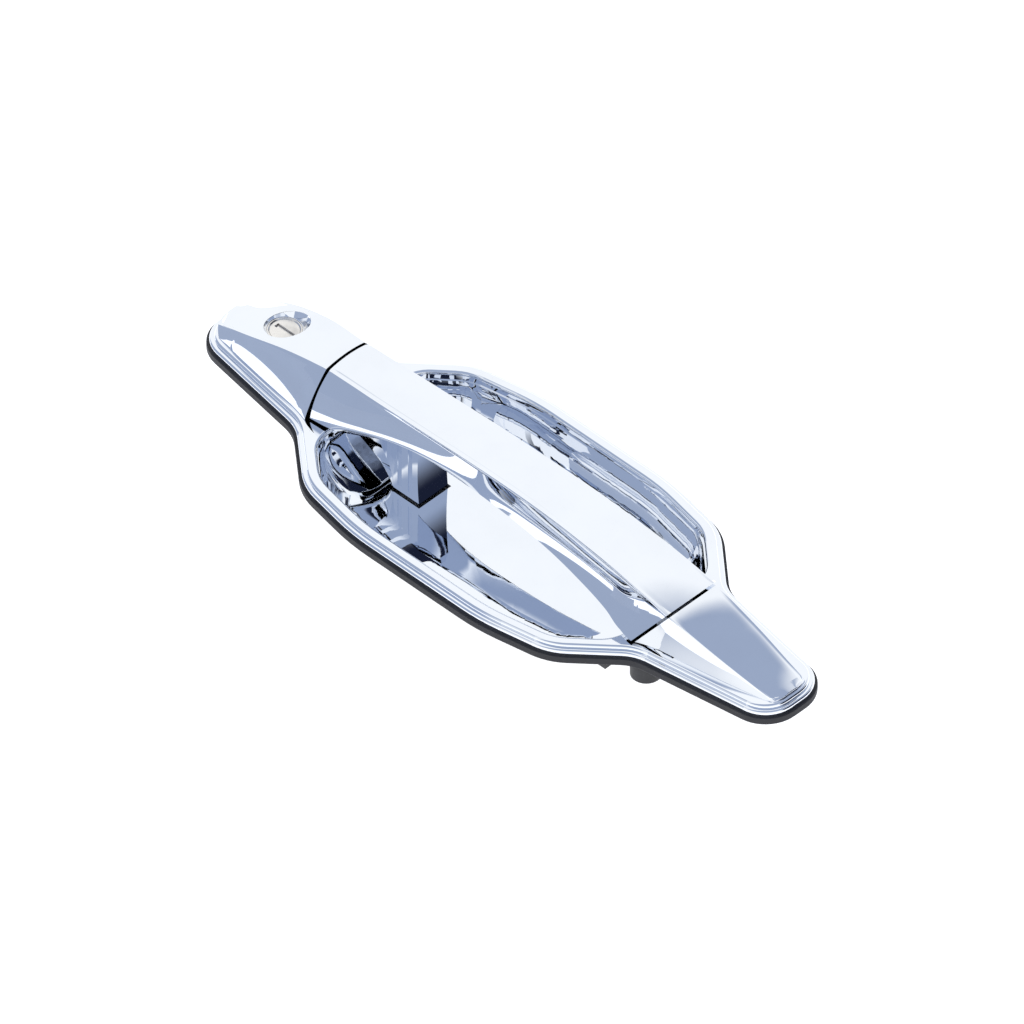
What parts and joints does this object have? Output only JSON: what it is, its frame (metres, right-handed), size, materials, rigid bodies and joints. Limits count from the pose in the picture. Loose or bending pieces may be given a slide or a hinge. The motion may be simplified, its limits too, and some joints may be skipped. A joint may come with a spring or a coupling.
{
  "type": "car door handle",
  "caption": "Chromed outside car door handle with a hinged pull grip over a hand bowl, a key lock in one end cap and a bell crank behind.",
  "frame": {"origin": "middle of the chrome plate, on the door skin that the gasket rests on", "axes": "+X along the handle from the keyhole end to the hinge end, +Y across it, +Z out of the car, away from the door"},
  "size_m": [0.274, 0.096, 0.0771],
  "materials": {
    "chrome_plated_plastic": "mirror",
    "chrome_plated_zinc": "mirror",
    "black_rubber": "matt",
    "black_glass_nylon": "textured",
    "white_acetal": "satin",
    "zinc_die_cast": "satin",
    "zinc_plated_steel": "satin",
    "stainless_steel": "polished",
    "nickel_plated_brass": "satin",
    "brass": "satin"
  },
  "bodies": {
    "base": {"bezel": "chrome_plated_plastic", "bowl_cup": "chrome_plated_plastic", "perimeter_gasket": "black_rubber", "rear_chassis": "black_glass_nylon", "chassis_screws": "zinc_plated_steel", "bowl_screws": "zinc_plated_steel", "threaded_inserts": "brass", "bump_stops": "black_rubber", "hinge_pin": "zinc_plated_steel", "hinge_pin_clip": "zinc_plated_steel", "crank_pin": "zinc_plated_steel", "crank_pin_clip": "zinc_plated_steel", "crank_spring": "zinc_plated_steel", "lock_face_cap": "stainless_steel", "lock_seal": "black_rubber", "lock_housing": "zinc_die_cast", "lock_retainer": "zinc_plated_steel", "lock_spring": "zinc_plated_steel"},
    "grip": {"grip_shell": "chrome_plated_plastic", "grip_back": "chrome_plated_plastic", "leg_arm": "chrome_plated_zinc", "hinge_arm": "zinc_die_cast", "hinge_bushes": "white_acetal", "grip_screws": "zinc_plated_steel"},
    "crank": {"bellcrank": "zinc_die_cast", "counterweight": "zinc_plated_steel", "rod_clip": "white_acetal"},
    "plug": {"lock_plug": "nickel_plated_brass", "lock_wafers": "brass", "tail_lever": "zinc_plated_steel", "tail_clip": "zinc_plated_steel"},
    "shutter": {"key_shutter": "stainless_steel"}
  },
  "joints": [
    {"name": "grip_pull", "type": "hinge", "parent": "base", "child": "grip", "pos_m": [0.112, 0, 0], "axis": [0, 1, 0], "range_deg": [0, 7], "stiffness_Nm_per_rad": 6, "springref_deg": -11.46},
    {"name": "crank_turn", "type": "hinge", "parent": "base", "child": "crank", "pos_m": [-0.0156, 0, -0.02963], "axis": [0, 1, 0], "range_deg": [0, 44.78]},
    {"name": "key_turn", "type": "hinge", "parent": "base", "child": "plug", "pos_m": [-0.108, 0, 0], "axis": [0, 0, 1], "range_deg": [-65, 65], "stiffness_Nm_per_rad": 0.05},
    {"name": "shutter_flap", "type": "hinge", "parent": "plug", "child": "shutter", "pos_m": [-0.108, 0.0007, 0.0152], "axis": [1, 0, 0], "range_deg": [0, 80], "stiffness_Nm_per_rad": 0.0002}
  ],
  "couplings": [
    {"joint": "crank_turn", "follows": "grip_pull", "ratio": 6.3977}
  ]
}
